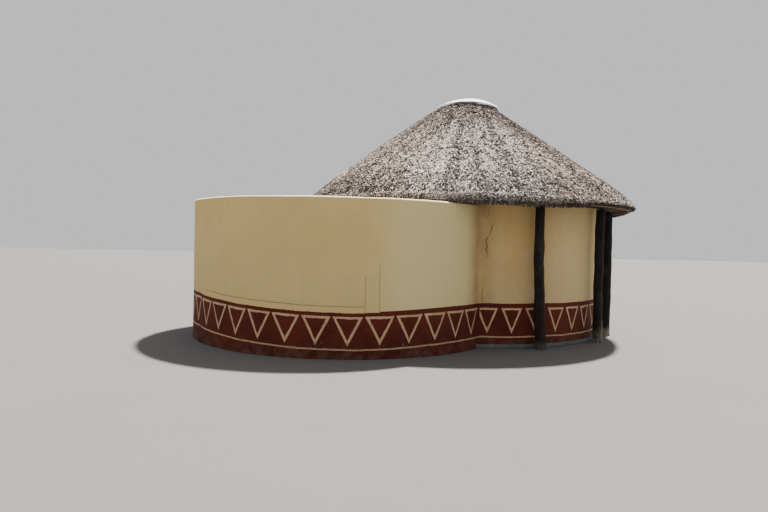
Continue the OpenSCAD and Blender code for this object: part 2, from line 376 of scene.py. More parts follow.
def band_masks(k, u, v, band):
    """Shares of red paint and of cream line in the painted band, by arc length and height."""
    pitch, half, top, line_z = (band[key] for key in ("pitch", "half", "top", "line"))
    fine = k.sway(0.004, 90, 2)
    uu = u + k.sway(0.050, 1.3, 2, stretch=(1, 1, 0.4)) + fine
    vv = v + (k.sway(0.026, 2.6, 2, stretch=(1, 1, 0.1)) + k.sway(0.012, 23, 3)) + fine
    across = abs(k.math("FRACT", (uu - (band["phase"] - pitch / 2)) / pitch) - 0.5) * pitch
    tri_top, tri_low = top - band["plain"], line_z + 0.052
    rise = tri_top - tri_low
    inside = ((vv - tri_low) * (half / rise) - across) * (rise / math.hypot(rise, half))
    below = tri_top - vv
    wide = k.sway(0.030, 8, 3) + band["stroke"]
    within = k.ramp(inside, -0.001, 0.002) * k.ramp(below, -0.001, 0.002)
    outline = within * k.ramp(k.math("MINIMUM", inside, below), wide - 0.0015, wide + 0.0015, 1, 0)
    ring = k.ramp(abs(vv - line_z), wide * 0.30, wide * 0.30 + 0.003, 1, 0)
    return k.ramp(top - vv, -0.0015, 0.0015), k.math("MAXIMUM", outline, ring)


def plaster_look(name, light, warm, grey, band, crack=None):
    """Plaster with trowel marks, stains, drips, the painted band, cracks and some painted light and shade.
    """
    k = Look(name, 0.88)
    u, v, face, high, lid = (k.mark(key) for key in ("u", "v", "face", "high", "lid"))
    mid = k.noise(4.5, 4)
    drips = k.noise(1.0, 5, 0.65, stretch=(7, 7, 0.5), warp=0.5)
    hairs = k.noise(1.0, 3, 0.7, stretch=(38, 38, 0.8), warp=0.2)
    trowel = k.noise(26, 3, 0.6, stretch=(1, 1, 0.35), warp=0.4)
    k.color = k.mix(k.ramp(k.noise(0.9, 3), 0.35, 0.66), light, warm)
    k.coat(k.ramp(mid, 0.45, 0.75) * 0.35, grey)
    k.coat(k.ramp(high, 0.7, 1.9, 0.55, 0.0) * k.ramp(mid, 0.3, 0.7, 0.4, 1), grey)
    k.coat(k.ramp(hairs, 0.50, 0.80, 0, 0.30), warm, 0.70)
    k.coat(k.ramp(drips, 0.58, 0.84) * k.ramp(high, 0.9, 2.2, 0.12, 0.42), warm, 0.62)
    # Paler and lighter towards the right of each wall: painted light, where the wall is lit more fully than
    # at its left
    lit_from, lit_to, lit_tint, lit_share = band["lit_side"]
    k.coat(k.ramp(u, lit_from, lit_to) * lit_share, lit_tint)
    # Toward the junction of the walls the colour turns to a darker ochre: partly the hut's own paint carried
    # round, partly painted shade in the concave corner
    ochre = k.mix(k.ramp(mid, 0.3, 0.7), (0.43, 0.30, 0.13), (0.35, 0.235, 0.105))
    k.coat(k.ramp(k.mark("join"), 0.15, 0.95), ochre)
    k.coat(k.ramp(k.cells(34), 0.03, 0.10, 0.35, 0.0) * k.ramp(k.noise(3, 2), 0.5, 0.62), grey, 0.45)
    k.coat(k.ramp(trowel, 0.52, 0.80, 0, 0.22), warm, 0.72)
    height = k.noise(11, 4, 0.6, stretch=(1, 1, 1.6)) * 0.6 + (k.noise(260, 2) * 0.10 + trowel * 0.30)
    if "chase" in band:
        # Filled chase: a lighter strip over the band and two runs up the wall, lined with painted shadow
        lip_z = k.sway(0.03, 5, 2) + (band["top"] + 0.085)
        u_from, u_to = band["chase"]
        along = k.ramp(u, u_from, u_from + 0.4) * k.ramp(u, u_to, u_to + 0.02, 1, 0)
        line = k.ramp(abs(v - lip_z), 0.0015, 0.010, 1, 0) * along
        for u_run, v_top in band["runs"]:
            off = abs(u + k.sway(0.012, 3, 1) - u_run)
            run = k.ramp(off, 0.0015, 0.009, 1, 0) * k.ramp(v, v_top, v_top + 0.1, 1, 0)
            line = k.math("MAXIMUM", line, run * 0.8)
        k.coat(k.ramp(v, lip_z - 0.002, lip_z, 1, 0) * along * 0.35, light)
        line = line * face
        # Painted shadow along the chase lines, over a bump groove
        k.coat(line * 0.78, grey, 0.35)
        height = height - line * 0.8
    if crack:
        places, runs = crack
        middle = places[0][1]
        for (v0, u0), (v1, u1) in zip(places, places[1:]):
            middle = k.ramp(high, v0, v1, 0.0, u1 - u0, smooth=False) + middle
        jag = k.sway(0.130, 26, 4, 0.9, stretch=UP_ONLY) + k.sway(0.022, 70, 2, 0.7)
        off = abs(u + (jag + k.sway(0.085, 9.5, 1, stretch=UP_ONLY)) - middle)
        for v_low, v_high, wide, strength in runs:
            gap = k.ramp(k.noise(5.2, 2, stretch=UP_ONLY), 0.40, 0.60, wide * 0.3, wide)
            ends = k.ramp(high, v_low, v_low + 0.03) * k.ramp(high, v_high - 0.03, v_high, 1, 0)
            mask = k.ramp(off, gap * 0.4, gap, 1, 0) * ends * face * strength
            k.coat(mask * 0.9, (0.030, 0.022, 0.016))
            height = height - mask * 3.0
    red, cream = band_masks(k, u, v, band)
    if "step" in band:
        u_step, step_z = band["step"]
        lifted = k.ramp(u, u_step, u_step + 0.01) * k.ramp(v, step_z - 0.002, step_z, 1, 0)
        red = k.math("MAXIMUM", red, lifted)
    paint = k.mix(k.ramp(k.noise(2.4, 4), 0.3, 0.7), (0.056, 0.0080, 0.0028), (0.092, 0.0140, 0.0050))
    paint = k.mix(k.ramp(k.noise(38, 3), 0.55, 0.85, 0, 0.30), paint, (0.15, 0.040, 0.020))
    lines = k.mix(k.ramp(k.noise(6, 3), 0.3, 0.7), (0.49, 0.325, 0.195), (0.39, 0.245, 0.145))
    paint = k.mix(cream * k.ramp(k.noise(60, 3), 0.25, 0.42), paint, lines)
    splash = k.ramp(high, 0.02, 0.26, 0.75, 0.0) * k.ramp(k.noise(8, 4), 0.35, 0.7)
    paint = k.mix(splash, paint, (0.095, 0.060, 0.038))
    chipped = k.ramp(k.noise(17, 5, 0.7), 0.66, 0.70) * k.ramp(high, 0.05, 0.45, 0.6, 0.05)
    painted = red * face * (1 - chipped)
    k.coat(painted, paint)
    k.coat((1 - face) * k.ramp(high, 0.05, 0.5, 0.6, 0.0), grey, 0.55)
    # The wall's top is painted lighter: a painted highlight where the light falls on it; dirt is laid over
    # it next
    k.coat(lid * 0.8, (0.88, 0.82, 0.70))
    k.coat(lid * k.ramp(k.noise(9, 4), 0.45, 0.75, 0.0, 0.5), grey, 0.7)
    return k.finish(height + painted * 0.15, 0.55, 0.006, k.ramp(painted, 0, 1, 0.92, 0.85))


def pole_look():
    """Creosoted trunk: near-black, split along its length, with a worn pale foot."""
    k = Look("tarred_trunk", 0.62)
    long_grain = k.noise(10, 5, 0.6, stretch=(9, 9, 0.55), warp=0.3)
    splits = k.ramp(k.noise(14, 3, 0.5, stretch=(7, 7, 0.25), warp=0.6), 0.40, 0.46, 1, 0)
    k.color = k.mix(k.ramp(long_grain, 0.35, 0.7), (0.006, 0.0052, 0.005), (0.021, 0.017, 0.014))
    k.coat(splits * 0.8, (0.004, 0.0035, 0.003))
    k.coat(k.ramp(k.noise(5, 4), 0.5, 0.75) * 0.20, (0.070, 0.055, 0.042))
    edge = k.mark("v") + k.sway(1.10, 2.6, 3, stretch=(1, 1, 0.6))
    bare = k.ramp(edge, 0.12, 0.30, 1, 0) * k.ramp(k.noise(9, 4, 0.7, stretch=(1, 1, 0.5)), 0.34, 0.54)
    k.coat(bare * k.mark("worn"), k.mix(long_grain, (0.11, 0.090, 0.068), (0.34, 0.295, 0.24)))
    height = long_grain * 0.6 + splits * -1.2 + k.noise(120, 2) * 0.12
    return k.finish(height, 0.8, 0.006, k.ramp(long_grain, 0.3, 0.7, 0.75, 0.95))


def wood_look(name, dark, light, stretch, tar=0.0):
    """Debarked or sawn timber with grain, knots and grey weathering."""
    k = Look(name, 0.78)
    grain = k.noise(8, 5, 0.62, stretch=stretch, warp=0.4)
    knots = k.ramp(k.cells(5.5), 0.04, 0.13, 1, 0)
    k.color = k.mix(k.ramp(grain, 0.3, 0.72), dark, light)
    k.coat(k.mark("tone") * 0.6, dark, 0.5)
    k.coat(knots * 0.55, dark, 0.35)
    k.coat(k.ramp(k.noise(3, 4), 0.45, 0.8, 0, 0.5), (0.20, 0.175, 0.145))
    if tar:
        k.coat(k.ramp(k.noise(4, 3), 0.2, 0.6, tar, 1.0), (0.016, 0.013, 0.011))
    return k.finish(grain + knots * 0.6, 0.6, 0.004)


def straw_look(name, pale, dark, under=False):
    """Weathered straw with its own tone each; the gaps and buried ends are painted dark as shade."""
    k = Look(name, 0.86)
    fleck = k.noise(62, 3, 0.6)
    share = k.math("ADD", k.mark("tone") * 0.72, k.ramp(fleck, 0.40, 0.60) * 0.28, clamp=True)
    share = k.ramp(share, 0.22, 0.86, smooth=False)
    k.color = k.mix(share, dark, pale)
    k.coat(k.ramp(k.noise(1.1, 4, 0.6), 0.45, 0.75, 0, 0.25), pale, 0.55)
    k.coat(k.ramp(k.noise(1.0, 3, 0.6, stretch=(6, 6, 1.4)), 0.55, 0.8, 0, 0.30),
           tuple(0.7 * a + 0.3 * b for a, b in zip(dark, pale)))
    k.coat(k.ramp(k.noise(30, 2), 0.55, 0.75, 0, 0.25), (0.33, 0.225, 0.155))
    # Where marked tan, a browner, duller tone: painted shade on the west and east sides of the roof, with a
    # little random tone change
    k.coat(k.mark("tan") * 0.55, k.mix(share, dark, (0.60, 0.465, 0.365)))
    # Where marked dim, darker: painted shade on the west and east sides, and darker towards the top and the
    # eave
    k.coat(k.mark("dim") * 0.75, k.mix(share, (0.055, 0.044, 0.038), (0.40, 0.325, 0.275)))
    if under:
        out = k.mark("out")
        fibre = k.noise(1.0, 4, 0.7, warp=0.15, vector=k.radial(150, 5.0))
        thick = k.ramp(fibre, 0.36, 0.66)
        k.coat(k.ramp(out, 0, 1, 0.6, 0), k.mix(thick, (0.045, 0.026, 0.013), (0.21, 0.135, 0.075)))
        # Outside of the coat's body, dark where its fibre is thin: painted shade in the gaps between the
        # straw ends
        k.coat(out * 0.92, k.mix(thick, (0.035, 0.030, 0.028), (0.42, 0.37, 0.33)))
    # The buried upper ends of the straws are darker: painted shade under the straws that lie over them
    k.coat(k.ramp(k.mark("tip"), 0.0, 0.6, 0.50, 0.0), dark, 0.30)
    rust = k.mix(k.ramp(fleck, 0.42, 0.62), (0.022, 0.010, 0.007), (0.15, 0.060, 0.036))
    k.coat(k.mark("rust") * 0.85, rust)
    if under:
        return k.finish(fibre * 1.6 + fleck * 0.5, 0.9, 0.010)
    return k.finish(k.noise(60, 3, stretch=(1, 1, 0.4)) + fleck, 0.6, 0.004)


def mortar_look(name, light, dark, stain):
    """Blotched, sandy mortar with hairline cracks, stains and painted shade on a marked rim."""
    k = Look(name, 0.9)
    blotch = k.noise(3.2, 5, 0.62)
    k.color = k.mix(k.ramp(blotch, 0.32, 0.7), light, dark)
    k.coat(k.ramp(k.noise(1.1, 5, 0.7), 0.52, 0.8, 0, 0.75), stain)
    cracks = k.ramp(k.cells(4.5, "DISTANCE_TO_EDGE"), 0.004, 0.014, 1, 0)
    cracks = cracks * k.ramp(k.noise(2.2, 2), 0.48, 0.62)
    k.coat(cracks * 0.8, dark, 0.2)
    pits = k.ramp(k.cells(70), 0.10, 0.22, 1, 0)
    k.coat(pits * 0.25, dark, 0.4)
    # Painted shade, dark grey, on the marked rim
    k.coat(k.mark("stain") * k.ramp(blotch, 0.30, 0.48, 0.75, 1), (0.115, 0.120, 0.130))
    return k.finish(k.noise(300, 2) * 0.2 + k.noise(22, 4) * 0.8 - (pits * 0.35 + cracks))


# Hut wall: one shell with both doorways cut through it

COLUMN_STEP, ROW_STEP, ARRIS = 0.052, 0.055, 0.012
EDGE = np.array([0.0, 0.0015, 0.0035, 0.007, 0.012, 0.022])


def hut_columns():
    """Azimuth of each column on the outer and the inner face, and which doorway it lies in."""
    outer, inner, door = [], [], []
    for i in (0, 1):
        here, there = DOORS[i][0], DOORS[1 - i][0]
        a0, b0 = math.asin(here / HUT_R), math.asin(here / HUT_IN)
        a1, b1 = np.pi - math.asin(there / HUT_R), np.pi - math.asin(there / HUT_IN)
        run, across = (a1 - a0) * HUT_R, np.linspace(-1, 1, 26)[:-1]
        body = np.linspace(EDGE[-1], run - EDGE[-1], int(round((run - 2 * EDGE[-1]) / COLUMN_STEP)) + 1)
        along = np.concatenate([EDGE[:-1], body, run - EDGE[-2:0:-1]])
        outer += [i * np.pi + a0 * across, i * np.pi + a0 + along / HUT_R]
        inner += [i * np.pi + b0 * across, i * np.pi + b0 + (b1 - b0) * along / run]
        door += [np.full(len(across), i), np.full(len(along), -1)]
    return [np.concatenate(parts) for parts in (outer, inner, door)]


def meeting(radius, other):
    """Angle at one wall's centre between the other centre and the place where their faces meet."""
    return math.acos((radius ** 2 + COURT_AWAY ** 2 - other ** 2) / (2 * radius * COURT_AWAY))


def hut_shell():
    az_out, az_in, door = hut_columns()
    heads = sorted(head for _, head in DOORS)
    z_rows = np.concatenate([
        np.arange(SLAB_H, heads[0] - 0.02, ROW_STEP),
        [head + step for head in heads for step in (0, 0.002, 0.006, 0.014)],
        np.linspace(heads[1] + 0.04, HUT_TOP - ARRIS, 7), [HUT_TOP - 0.004, HUT_TOP]])
    rows, cols = len(z_rows), len(az_out)
    n, column, after = rows * cols, np.arange(cols), (np.arange(cols) + 1) % cols
    # How near an edge each place is; the face is drawn in there
    near = (HUT_TOP - z_rows)[:, None]
    keep = np.ones((rows - 1, cols), bool)

    def strip(a, b):
        return np.stack([a, b, b + n, a + n], 1)

    faces = [strip(n - cols + column, n - cols + after), strip(after[door < 0], column[door < 0])]
    for i, (half, head) in enumerate(DOORS):
        beside = np.maximum(between(az_out, i * np.pi) - math.asin(half / HUT_R), 0) * HUT_R
        near = np.minimum(near, np.hypot(beside, np.maximum(z_rows - head, 0)[:, None]))
        head_row, over = np.argmin(abs(z_rows - head)), column[door == i]
        keep[:head_row, over] = False
        first, last = (np.arange(head_row) * cols + c for c in (over[0], after[over[-1]]))
        faces += [strip(head_row * cols + after[over], head_row * cols + over),
                  strip(first, first + cols), strip(last + cols, last)]
    quads = grid_quads(rows, cols, True)[keep.ravel()]
    pull = ARRIS - np.sqrt(np.maximum(ARRIS ** 2 - np.maximum(ARRIS - near, 0) ** 2, 0))

    def face(az, radius, sign):
        x, y, z = np.cos(az), np.sin(az), z_rows[:, None]
        wave = 0.0042 * fbm(x * 4.5, y * 4.5, z * 1.7, 3) + 0.0012 * noise(x * 22, y * 22, z * 9)
        return polar(radius + sign * (wave - pull), az, z)

    past = abs(between(az_out, COURT_AZ) - meeting(HUT_R, COURT_R)) * HUT_R
    # Share of the darker junction ochre on the hut near the court wall, partly painted shade in the corner
    join = np.clip((0.40 - past) / 0.34, 0, 1)
    high = np.tile(np.repeat(z_rows, cols), 2)
    return Shape().add(
        [face(az_out, HUT_R, 1), face(az_in, HUT_IN, -1)],
        np.concatenate([quads, quads[:, ::-1] + n, *faces]), v=high, high=high, lid=0,
        u=[np.tile(az % TAU * HUT_R, rows) for az in (az_out, az_in)],
        face=np.repeat((1, 0), n), join=[np.tile(join, rows), np.zeros(n)])


# Court wall: one round sweep from the hut and back to it

def roof_clear(r):
    """Height that the roof leaves free at a radius."""
    low = min(lath_axis(FIRST_LATH_R) - 0.015, POLE_TOP) - 0.0005
    return np.interp(r, (0.0, EAVE_R - (low - EAVE_Z) / SLOPE, EAVE_R, EAVE_TIP, EAVE_TIP + 0.001),
                     (low, low, EAVE_Z, EAVE_Z + THATCH_T / 2, 9.0))


def paint_arc(azimuth_deg):
    """Arc length of the painted band at a court azimuth; its hand-set spacing varies."""
    x = np.clip((azimuth_deg - 198.37) / 103.3, 0, 1)
    return np.radians(azimuth_deg + 20.5 * x * (1 - x) ** 2) * COURT_R


def paint_rise(azimuth_deg):
    """How far the painted band of the court wall stands above its lowest place."""
    places = (94, 130, 180, 190, 198, 206, 214, 224, 236, 248, 264, 275, 282, 290, 300)
    rises = (0.04, 0.05, 0.12, 0.137, 0.135, 0.107, 0.082, 0.056, 0.030, 0.0104, 0,
             0.0105, 0.023, 0.0365, 0.046)
    return np.interp(azimuth_deg, places, rises)


def court_shell():
    bury, fillet, edge_r, gap = 0.012, 0.080, 0.035, 0.006
    half_out, half_in = (np.pi - meeting(radius, HUT_R) + bury / COURT_R for radius in (COURT_R, COURT_IN))
    ends = np.array([0, 0.006, 0.012, 0.0125, 0.0135, 0.0155, 0.019, 0.024,
                     0.030, 0.038, 0.048, 0.060, 0.075, 0.092, 0.112, 0.135]) / (COURT_R * half_out)
    f = np.concatenate([ends - 1, np.linspace(ends[-1] + gap - 1, 1 - ends[-1] - gap, 250), 1 - ends[::-1]])
    turn = np.linspace(0, np.pi / 2, 6)
    inset, rise = edge_r * (1 - np.cos(turn)), COURT_H - edge_r * (1 - np.sin(turn))
    side = np.append(np.arange(0, COURT_H - edge_r - 0.02, ROW_STEP), COURT_H - edge_r)
    flat = np.linspace(COURT_R - edge_r, COURT_IN + edge_r, 6)[1:-1]
    r = np.concatenate([np.full(len(side), COURT_R), COURT_R - inset[1:], flat,
                        COURT_IN + inset[::-1], np.full(len(side) - 1, COURT_IN)])[:, None]
    z = np.concatenate([side, rise[1:], np.full(len(flat), COURT_H), rise[::-1], side[-2::-1]])[:, None]
    rows, cols = len(r), len(f)
    share = np.clip((COURT_R - r) / WALL_T, 0, 1)
    outer, lid = share < 0.5, abs(share - 0.5) < 0.33
    az = COURT_AZ + f * (half_out + (half_in - half_out) * share)
    x, y = np.cos(az), np.sin(az)
    wave = 0.0050 * fbm(x * 4.0 + 9, y * 4.0, z * 1.5, 3) + 0.0012 * noise(x * 24, y * 24, z * 9)
    worn = 0.007 * noise(x * 2.6, y * 2.6, 4.0)
    crown = np.clip((z - worn - (COURT_H - 0.017)) / 0.013, 0, 1)
    rr = r + np.where(outer, 1, -1) * wave * (1 - lid)
    zz = z + lid * (0.006 * fbm(x * 9, y * 9, rr * 9, 2) - 0.004)
    zz = zz + crown * (0.004 * noise(x * 16, y * 16, 3.0) - 0.003)
    px, py = COURT_X + rr * x, COURT_Y + rr * y
    far = np.hypot(px, py)
    away = np.clip(far - HUT_R, 0, fillet / 2)
    spread = 0.577 * (fillet + away) - np.sqrt(fillet ** 2 - (fillet - away) ** 2)
    spread = spread * np.where(outer, 1, 0.3) * (1 - 2 * share) * np.sign(f)
    zz = np.minimum(zz, roof_clear(far) - 0.001 - 0.00001 * np.arange(rows)[:, None])
    up = np.arange(rows // 2 - 1) * cols
    down = (rows - 1) * cols - up
    end = np.stack([up, up + cols, down - cols, down], 1)
    quads = np.concatenate([grid_quads(rows, cols, closed_rows=True), end, end[:, ::-1] + cols - 1])
    court_deg, outside = np.degrees(az), share < 0.2
    # Toward the hut the court wall takes the darker junction ochre, partly painted shade in the corner
    return Shape().add(
        polar(far, np.arctan2(py, px) + spread / far, zz), quads,
        u=paint_arc(court_deg), v=zz - outside * paint_rise(court_deg), high=zz,
        face=np.repeat(outside, cols), lid=crown, join=np.clip(1 - (far - HUT_R) / 0.46, 0, 1))


def hut_u(azimuth_deg):
    return math.radians(azimuth_deg) * HUT_R


def numbered(stem, count):
    return ["%s_%d" % (stem, i + 1) for i in range(count)]


hut_band = dict(
    pitch=hut_u(9.42), phase=hut_u(268.4), half=0.178, top=0.705, line=0.180, stroke=0.032, plain=0.072,
    lit_side=(hut_u(272), hut_u(292), (0.55, 0.425, 0.225), 0.55))
court_band = dict(
    pitch=math.radians(9.392) * COURT_R, phase=paint_arc(198.37), half=0.198, top=0.640, line=0.130,
    stroke=0.032, plain=0.052, lit_side=(paint_arc(266), paint_arc(282), (0.60, 0.50, 0.26), 0.8),
    chase=(paint_arc(203.0), paint_arc(267.15)), step=(paint_arc(272.2), 0.657),
    runs=((paint_arc(267.5), 1.10), (paint_arc(272.0), 1.25)))
crack_places = [(z, hut_u(az)) for z, az in (
    (0.70, 257.0), (0.97, 257.2), (1.48, 258.4), (1.62, 258.2), (1.76, 258.5),
    (1.83, 259.3), (1.93, 260.6), (2.02, 258.6), (2.20, 258.3))]
crack_runs = ((0.71, 0.95, 0.0070, 0.7), (1.42, 1.95, 0.0085, 1.0), (2.02, 2.20, 0.0070, 0.7),
              (0.95, 1.42, 0.0025, 0.5))
hut_plaster = plaster_look(
    "ochre_plaster", (0.55, 0.380, 0.158), (0.475, 0.305, 0.112), (0.40, 0.335, 0.215), hut_band,
    (crack_places, crack_runs))
court_plaster = plaster_look(
    "cream_plaster", (0.595, 0.432, 0.180), (0.555, 0.395, 0.155), (0.49, 0.385, 0.20), court_band)
hut_nodes = numbered("hut_wall_front", 4) + numbered("hut_wall_back", 4)
hut_nodes += ["wall_over_entrance", "wall_over_court_door"]
hut_shell().make("hut_wall_plaster", hut_plaster, "hut_plaster", hut_nodes)
court_shell().make("court_wall_plaster", court_plaster, "court_plaster", numbered("court_wall", 6))


# Floor slab with a worn, slightly chipped edge

# The cement's grey is set dark: painted shade, as the slab lies in the hut's shadow
cement = mortar_look("worn_cement", (0.125, 0.124, 0.124), (0.078, 0.077, 0.078), (0.060, 0.050, 0.042))
edge_r = 0.014
profile = [
    (0.3, 0.0), (1.5, 0.0), (SLAB_R - 0.006, 0.0), (SLAB_R, 0.012), (SLAB_R, 0.03),
    *arc(SLAB_R - edge_r, SLAB_H - edge_r, edge_r, 0, 90, 6),
    *((r, SLAB_H - 0.0015) for r in (2.47, 2.40, 2.32, 2.26, 2.2, 2.1, 1.9, 1.6, 1.2, 0.8, 0.4, 0.1))]
Shape().add(*disc(profile, 330, 0.0028, 9, 3.0)).make("floor_slab_worn", cement, "cement", ["floor_slab"])


# Crooked trunks, on the centre lines of the CAD poles

def trunk_rings(node):
    """Centre and radius of the CAD trunk at its ring heights."""
    co = np.array([v.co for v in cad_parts[node].data.vertices], float)
    centres, radii, last = [], [], -1.0
    for z in np.unique(np.round(co[:, 2], 4)):
        if z - last >= 0.02:
            ring = np.unique(np.round(co[abs(co[:, 2] - z) < 0.003], 4), axis=0)
            mid = ring.mean(0)
            centres.append([mid[0], mid[1], z])
            radii.append(np.linalg.norm(ring[:, :2] - mid[:2], axis=1).mean())
            last = z
    return np.array(centres), np.array(radii)


poles = Shape()
rows, sides = 50, 26
t, aa = np.linspace(0, 1, rows), circle(sides)
tt, bend = t[:, None], np.sin(np.pi * t)
for number in range(1, 13):
    centres, radii = trunk_rings("pole_%d" % number)
    at = (centres[:, 2] - centres[0, 2]) / (centres[-1, 2] - centres[0, 2])
    path = np.stack([np.interp(t, at, column) for column in centres.T], 1)
    for _ in range(14):
        path[1:-1] = (path[:-2] + 2 * path[1:-1] + path[2:]) / 4
    seed = number * 3.7
    path[:, 0] += (0.013 * noise(t * 5 + seed, 0.3, 0.1) + 0.005 * noise(t * 13 + seed, 0.9, 0.1)) * bend
    path[:, 1] += (0.013 * noise(t * 5, seed, 0.7) + 0.005 * noise(t * 13, seed, 0.2)) * bend
    twist = aa + 0.5 * tt + seed
    c, s = np.cos(twist), np.sin(twist)
    lump = 0.075 * fbm(c * 1.3 + seed, s * 1.3, tt * 9, 3)
    flutes = 0.020 * np.sin(5 * twist + 2 * noise(tt * 4, seed, 0.5)) * (1 - 0.6 * tt)
    cracks = -0.055 * np.clip(noise(c * 6, s * 6 + seed, tt * 2.2) - 0.52, 0, 1) * 4
    for _ in range(5):
        knot_t, knot_a = rng.uniform(0.08, 0.92), rng.uniform(0, TAU)
        far = ((tt - knot_t) * 14) ** 2 + (between(aa, knot_a) * 2.1) ** 2
        lump = lump + 0.14 * np.exp(-far)
    stout = 1.06 if number == 12 else 0.985
    rad = np.interp(t, at, radii)[:, None] * (stout + lump + flutes + cracks + 0.05 * np.exp(-tt * 26))
    co = (polar(rad, aa, 0.0) + path[:, None]).reshape(-1, 3)
    poles.add(np.concatenate([co, path[[0, -1]]]), *bar_faces(rows, sides),
              v=np.append(np.repeat(t * path[-1, 2], sides), [0, 2.2]),
              worn={10: 0.30, 11: 0.95, 12: 0.95}.get(number, 0.55 + 0.3 * math.sin(seed)))
poles.make("pole_trunks", pole_look(), "tarred_pole", numbered("pole", 12))


# Ring beam as a bundle of bent saplings with wire bindings

(_, _, foot), (ring_r, _, head) = corners("ring_beam")
ring_z, ring_half = (foot + head) / 2, (head - foot) / 2
ring_mid = ring_r - ring_half
off, wrap = ring_half * 0.56, ring_half * 0.985
beam = Shape()
az, w = circle(210), circle(14)
for i in range(6):
    lay = TAU * i / 6 + 0.5 * np.sin(az * 2 + i) + 0.25 * np.sin(az * 5 + 2 * i)
    path = polar(ring_mid + off * np.cos(lay), az, ring_z + off * np.sin(lay))
    thick = 0.0235 * (1 + 0.12 * noise(az * 6, i * 5.0, 0.2))
    tube(beam, path, thick, 10, True, 0.10, 12, i, tone=rng.random())
for i in range(48):
    a = TAU * (i + 0.3 * rng.random()) / 48
    for turn in range(3):
        path = polar(ring_mid + wrap * np.cos(w), a + 0.0022 * turn, ring_z + wrap * np.sin(w))
        tube(beam, path, 0.0022, 4, True, tone=0.9)
sapling = wood_look("tarred_sapling", (0.030, 0.022, 0.017), (0.075, 0.055, 0.040), (6, 6, 6), tar=0.55)
beam.make("ring_beam_saplings", sapling, "tarred_pole", ["ring_beam"])


# Rafters, king block and laths

short_shape, long_shape = Shape(), Shape()
tail_r, king_r = POLE_RING + RAFTER_TAIL, 0.176
for i in range(24):
    r = np.linspace(tail_r, *((king_r, 46) if i % 2 else (0.950, 34)))
    aside = 0.006 * fbm(r * 1.4, i * 7.0, 0.2, 2)
    dip = -0.004 + 0.004 * noise(r * 1.3, 3.0, i * 5.0)
    tube(long_shape if i % 2 else short_shape, polar(r, math.radians(15 * i), rafter_axis(r) + dip, aside),
         0.0445 - 0.006 * (tail_r - r) / tail_r, 14, False, 0.045, 5, i * 2.3, tone=rng.random() * 0.8)
roof_wood = wood_look("rafter_wood", (0.16, 0.095, 0.050), (0.33, 0.215, 0.125), (9, 9, 4))
long_shape.make("long_rafter_poles", roof_wood, "roof_wood", ["long_rafters"])
short_shape.make("short_rafter_poles", roof_wood, "roof_wood", ["short_rafters"])

(_, _, foot), (block_r, _, head) = corners("king_block")
block_r, ease = block_r - 0.003, 0.012
profile = [
    (0.02, foot), (block_r * 0.5, foot), (block_r - ease, foot),
    *arc(block_r - ease, foot + ease, ease, -90, 0, 5),
    *((block_r, z) for z in np.linspace(foot + 0.03, head - 0.03, 6)),
    *arc(block_r - ease, head - ease, ease, 0, 90, 5), (block_r * 0.5, head), (0.02, head)]
king_wood = wood_look("king_wood", (0.13, 0.08, 0.045), (0.27, 0.18, 0.11), (7, 7, 2))
king = Shape().add(*disc(profile, 90, 0.0020, 22, 8.0), tone=0.3)
king.make("king_block_turned", king_wood, "roof_wood", ["king_block"])

laths = Shape()
lath_r, w = FIRST_LATH_R, circle(10)
away = 0.017 * np.cos(w)
while lath_r > THATCH_TOP_R - 0.120:
    az = circle(max(60, int(lath_r * 62)))
    wiggle = 0.0015 * fbm(np.cos(az) * 5, np.sin(az) * 5, lath_r, 2)
    tube(laths, polar(lath_r + wiggle, az, lath_axis(lath_r) + wiggle - 0.001),
         0.0135 * (1 + 0.10 * noise(az * 9, lath_r, 0.5)), 8, True, 0.08, 9, lath_r, tone=rng.random() * 0.6)
    bound_z = lath_axis(lath_r) + 0.0165 * np.sin(w) - 0.004 - away * SLOPE
    for i in range(24):
        if i % 2 or lath_r >= 0.98:
            for skew in (-1, 1):
                path = polar(lath_r + away, math.radians(15 * i), bound_z, skew * 0.014 * np.cos(w))
                tube(laths, path, 0.0018, 3, True, tone=1.0)
    lath_r -= LATH_STEP / UPRIGHT
lath_wood = wood_look("lath_wood", (0.13, 0.083, 0.047), (0.27, 0.19, 0.11), (8, 8, 8))
laths.make("laths_bound", lath_wood, "lath_wood", ["laths"])


# Thatch: a lumpy shell, a stubble of cut straw ends over it and a ragged eave

def shell_line():
    """Profile of the thatch from the inner top down the underside, round the eave and up the slope."""
    edge = 0.060
    shoulder = EAVE_TIP - edge
    top_under_r = EAVE_R - (over_thatch(THATCH_TOP_R) - EAVE_Z) / SLOPE
    under_r = [*np.linspace(top_under_r + 0.012, EAVE_R - 0.10, 48),
               *(EAVE_R - back for back in (0.075, 0.05, 0.025, 0.004))]
    line = [(r, under_thatch(r) + 0.006) for r in under_r]
    line += [(EAVE_R + out, EAVE_Z + up) for out, up in ((0.006, 0.006), (0.018, 0.030), (0.030, 0.055))]
    line += [(shoulder + 0.056 * math.cos(t),
              over_thatch(EAVE_TIP) - 0.006 + edge * (math.sin(t) - 1 + SLOPE * t / (np.pi / 2)))
             for t in np.linspace(0, np.pi / 2, 6)]
    line += [(r, over_thatch(r) - 0.014) for r in np.linspace(shoulder - 0.03, THATCH_TOP_R, 54)]
    line += [(THATCH_TOP_R - back, over_thatch(THATCH_TOP_R) - 0.030) for back in (0.04, 0.16, 0.28)]
    return np.array(line)


def lumps(az, s):
    """Unevenness of the dressed thatch at an azimuth and a radius."""
    x, y = np.cos(az) * s, np.sin(az) * s
    side = soft_step((np.cos(az) + 0.15) / 0.75) * plateau(s, 0.54, 0.10, 1.95, 0.75)
    return (-0.042 * side + 0.011 * fbm(x * 1.6, y * 1.6, 0.7, 3) + 0.006 * noise(x * 6.5, y * 6.5, 4.2)
            + 0.004 * noise(az * 26, s * 1.1, 8.1))


